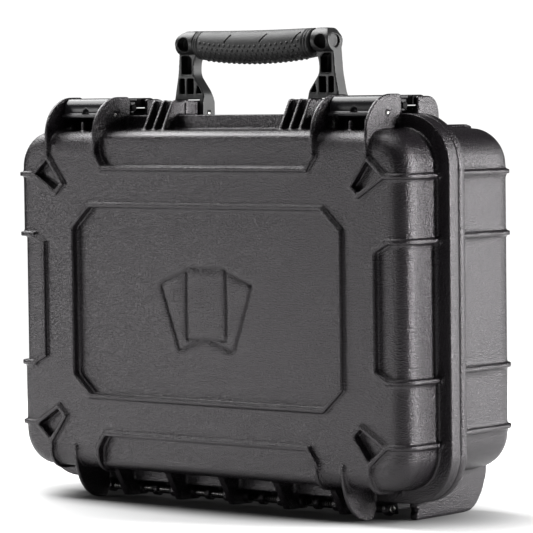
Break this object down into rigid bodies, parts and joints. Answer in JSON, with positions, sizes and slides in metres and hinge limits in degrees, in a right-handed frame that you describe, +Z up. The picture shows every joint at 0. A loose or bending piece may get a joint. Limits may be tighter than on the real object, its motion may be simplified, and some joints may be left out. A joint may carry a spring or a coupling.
{
  "type": "trading card protector case",
  "caption": "Hard gasketed carry case for trading cards: pinned lid, double-throw latches, folding handle and foam card rows.",
  "frame": {"origin": "middle of the footprint on the floor, with the case standing on its hinge side", "axes": "+Z up through the handle, +X along the handle and the hinge, -Y out of the lid's face"},
  "size_m": [0.438, 0.15, 0.391],
  "materials": {
    "shell_plastic": "fine pebble-grained charcoal polypropylene",
    "latch_plastic": "smooth black nylon",
    "handle_plastic": "satin black nylon",
    "grip_rubber": "soft over-moulded rubber with a studded underside",
    "seal_rubber": "smooth seal rubber",
    "pin_steel": "bright drawn steel",
    "foam": "closed-cell foam, fine pores"
  },
  "bodies": {
    "base": {"base_shell": "shell_plastic", "base_foam": "foam", "row_spacer_1": "foam", "row_spacer_2": "foam", "row_spacer_3": "foam", "valve_body": "latch_plastic", "valve_cap": "latch_plastic", "valve_nut": "latch_plastic", "hinge_pin_left": "pin_steel", "hinge_pin_right": "pin_steel", "handle_pin_left": "pin_steel", "handle_pin_right": "pin_steel"},
    "lid": {"lid_shell": "shell_plastic", "lid_foam": "foam", "lid_gasket": "seal_rubber", "latch_lid_pin_left": "pin_steel", "latch_lid_pin_right": "pin_steel"},
    "handle": {"handle_frame": "handle_plastic", "handle_grip": "grip_rubber"},
    "link_left": {"latch_link_left": "latch_plastic", "latch_lever_pin_left": "latch_plastic"},
    "lever_left": {"latch_lever_left": "latch_plastic"},
    "link_right": {"latch_link_right": "latch_plastic", "latch_lever_pin_right": "latch_plastic"},
    "lever_right": {"latch_lever_right": "latch_plastic"}
  },
  "joints": [
    {"name": "lid_hinge", "type": "hinge", "parent": "base", "child": "lid", "pos_m": [0, -0.0214, 0.0075], "axis": [1, 0, 0], "range_deg": [0, 105]},
    {"name": "handle_pivot", "type": "hinge", "parent": "base", "child": "handle", "pos_m": [0, 0.0025, 0.3205], "axis": [-1, 0, 0], "range_deg": [0, 88]},
    {"name": "link_pivot_left", "type": "hinge", "parent": "lid", "child": "link_left", "pos_m": [-0.1427, -0.048, 0.3202], "axis": [1, 0, 0], "range_deg": [0, 70]},
    {"name": "lever_pivot_left", "type": "hinge", "parent": "link_left", "child": "lever_left", "pos_m": [-0.1427, -0.021, 0.3257], "axis": [-1, 0, 0], "range_deg": [0, 95]},
    {"name": "link_pivot_right", "type": "hinge", "parent": "lid", "child": "link_right", "pos_m": [0.1427, -0.048, 0.3202], "axis": [1, 0, 0], "range_deg": [0, 70]},
    {"name": "lever_pivot_right", "type": "hinge", "parent": "link_right", "child": "lever_right", "pos_m": [0.1427, -0.021, 0.3257], "axis": [-1, 0, 0], "range_deg": [0, 95]}
  ]
}
